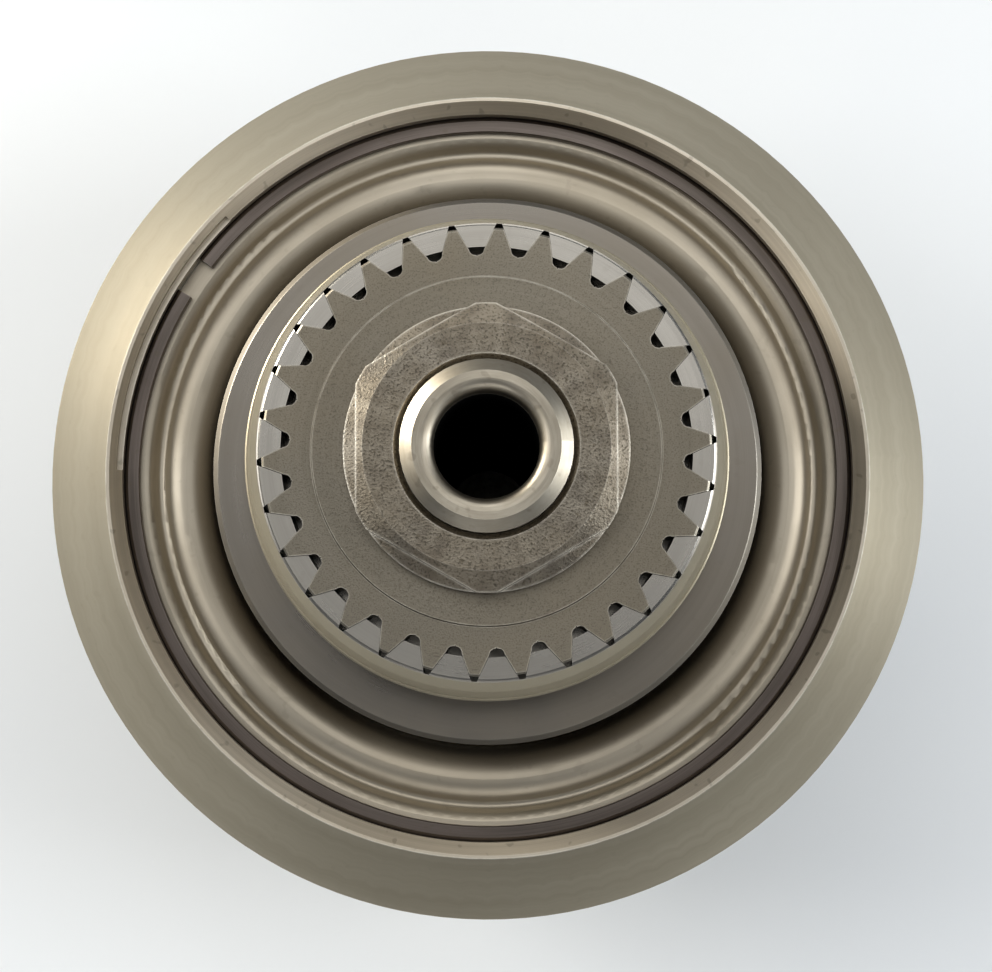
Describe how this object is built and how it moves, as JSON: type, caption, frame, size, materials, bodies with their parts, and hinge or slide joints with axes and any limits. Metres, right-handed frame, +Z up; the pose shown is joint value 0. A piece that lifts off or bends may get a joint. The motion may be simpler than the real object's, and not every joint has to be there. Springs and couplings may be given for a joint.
{
  "type": "variator pulley assembly",
  "caption": "Push-belt variator pulley on a hollow shaft: fixed and sliding sheaves, piston drum with balance cover, ball bearings and a toothed drive hub.",
  "frame": {"origin": "centre of the lower shaft end face, at the bottom of the bounding box", "axes": "+Z up the shaft from the fixed sheave's end to the lock nut; +X across the shaft"},
  "size_m": [0.1736, 0.1736, 0.175],
  "materials": {
    "forged_steel": "turned, warm grey",
    "drum_steel": "turned, bright rim",
    "cover_steel": "pressed sheet, oily",
    "ring_steel": "spring steel, blued",
    "plunger_steel": "turned",
    "bearing_steel": "ground",
    "ball_steel": "polished",
    "cage_steel": "pressed sheet",
    "spring_steel": "drawn wire, oil-tempered",
    "seal_rubber": "moulded, dark",
    "seal_band": "filled, brown",
    "hub_steel": "satin, fine speckle",
    "sleeve_steel": "polished, warm",
    "spacer_steel": "turned",
    "nut_steel": "phosphated, worn edges",
    "plug_steel": "turned"
  },
  "bodies": {
    "rotor": {"pulley_shaft": "forged_steel", "shaft_plug": "plug_steel", "front_retaining_ring": "ring_steel", "front_bearing_inner_ring": "bearing_steel", "rear_bearing_inner_ring": "bearing_steel", "plunger": "plunger_steel", "plunger_seal_ring": "seal_band", "plunger_o_ring": "seal_rubber", "spacer_sleeve": "spacer_steel", "toothed_hub": "hub_steel", "coupling_sleeve": "sleeve_steel", "lock_nut": "nut_steel"},
    "sliding_half": {"movable_sheave": "forged_steel", "piston_drum": "drum_steel", "balance_cover": "cover_steel", "cover_snap_ring": "ring_steel", "cover_seal": "seal_rubber", "ball_stop_ring": "ring_steel", "spring_seat": "spring_steel", "return_spring": "spring_steel"},
    "key_ball_set": {"key_balls": "ball_steel"},
    "rear_outer": {"rear_bearing_outer_ring": "bearing_steel"},
    "rear_ball_train": {"rear_bearing_balls": "ball_steel", "rear_bearing_cage": "cage_steel"},
    "front_outer": {"front_bearing_outer_ring": "bearing_steel"},
    "front_ball_train": {"front_bearing_balls": "ball_steel", "front_bearing_cage": "cage_steel"}
  },
  "joints": [
    {"name": "sheave_slide", "type": "slide", "parent": "rotor", "child": "sliding_half", "axis": [0, 0, 1], "range_m": [0, 0.012], "stiffness_N_per_m": 6000, "springref_m": -0.02, "deforming": ["return_spring"]},
    {"name": "key_ball_roll", "type": "slide", "parent": "rotor", "child": "key_ball_set", "axis": [0, 0, 1], "range_m": [0, 0.006]},
    {"name": "rear_outer_spin", "type": "hinge", "parent": "rotor", "child": "rear_outer", "pos_m": [0, 0, 0.1155], "axis": [0, 0, 1], "continuous": true},
    {"name": "rear_ball_train_spin", "type": "hinge", "parent": "rotor", "child": "rear_ball_train", "pos_m": [0, 0, 0.1155], "axis": [0, 0, 1], "continuous": true},
    {"name": "front_outer_spin", "type": "hinge", "parent": "rotor", "child": "front_outer", "pos_m": [0, 0, 0.0175], "axis": [0, 0, 1], "continuous": true},
    {"name": "front_ball_train_spin", "type": "hinge", "parent": "rotor", "child": "front_ball_train", "pos_m": [0, 0, 0.0175], "axis": [0, 0, 1], "continuous": true}
  ],
  "couplings": [
    {"joint": "key_ball_roll", "follows": "sheave_slide", "ratio": 0.5},
    {"joint": "rear_ball_train_spin", "follows": "rear_outer_spin", "ratio": 0.59091},
    {"joint": "front_ball_train_spin", "follows": "front_outer_spin", "ratio": 0.59231}
  ]
}
